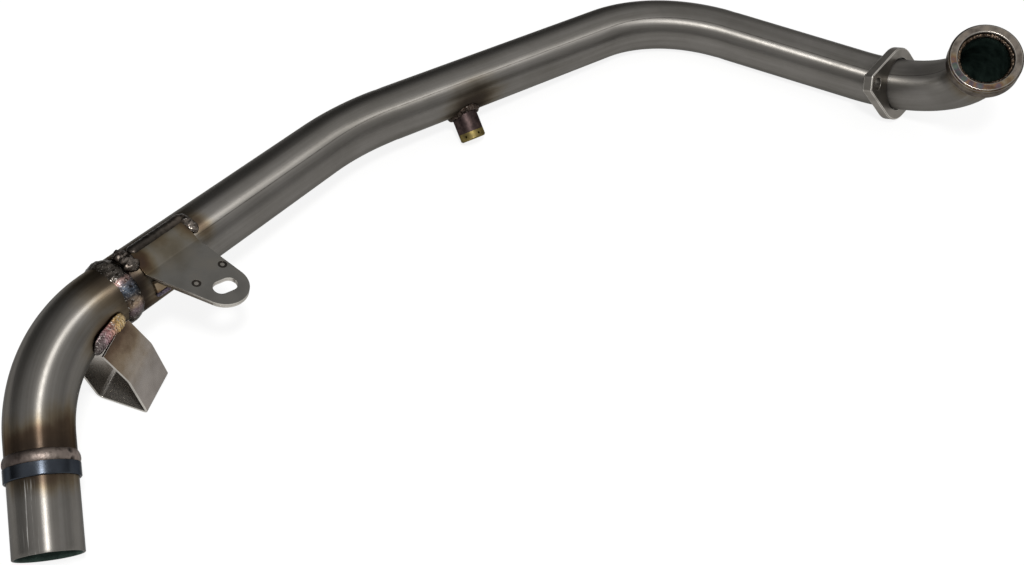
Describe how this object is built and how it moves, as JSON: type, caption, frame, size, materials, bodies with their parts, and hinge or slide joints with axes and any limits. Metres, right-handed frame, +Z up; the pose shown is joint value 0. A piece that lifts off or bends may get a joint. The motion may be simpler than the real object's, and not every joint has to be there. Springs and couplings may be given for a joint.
{
  "type": "exhaust collector pipe",
  "caption": "Bent motorcycle exhaust collector pipe with a welded port ring, loose stud flange, plugged sensor boss, slotted bracket, strip loop and stopped outlet spigot.",
  "frame": {"origin": "middle of the bounding box on the floor, part lying at rest on its strip loop, apex bend and flange", "axes": "+Z up from the floor, +X from the outlet side to the port side, +Y from the outlet mouth to the apex bend"},
  "size_m": [0.555, 0.5151, 0.1057],
  "materials": {
    "tube_steel": "polished lengthwise, heat tinted near the welds",
    "ring_steel": "turned, heat tinted",
    "sheet_steel": "satin, pressed",
    "flange_steel": "satin, bright edges",
    "weld_metal": "rough beads with heat tint",
    "plug_brass": "dull turned brass"
  },
  "bodies": {
    "pipe": {"front_tube": "tube_steel", "rear_elbow": "tube_steel", "weld_butt": "weld_metal", "stop_ring": "ring_steel", "weld_stop_ring": "weld_metal", "port_ring": "ring_steel", "weld_port_ring": "weld_metal", "sensor_boss": "ring_steel", "weld_boss": "weld_metal", "boss_plug": "plug_brass", "bracket_upper": "sheet_steel", "bracket_lower": "sheet_steel", "spot_welds": "weld_metal", "stop_loop": "sheet_steel", "weld_bracket_upper": "weld_metal", "weld_bracket_ends": "weld_metal", "weld_bracket_lower": "weld_metal", "weld_loop_front": "weld_metal", "weld_loop_back": "weld_metal"},
    "flange": {"stud_flange": "flange_steel"}
  },
  "joints": [
    {"name": "flange_slide", "type": "hinge", "parent": "pipe", "child": "flange", "pos_m": [0.18391, 0.16962, 0.08357], "axis": [-0.2552, -0.8237, -0.5063], "range_deg": [-11, 58]}
  ]
}
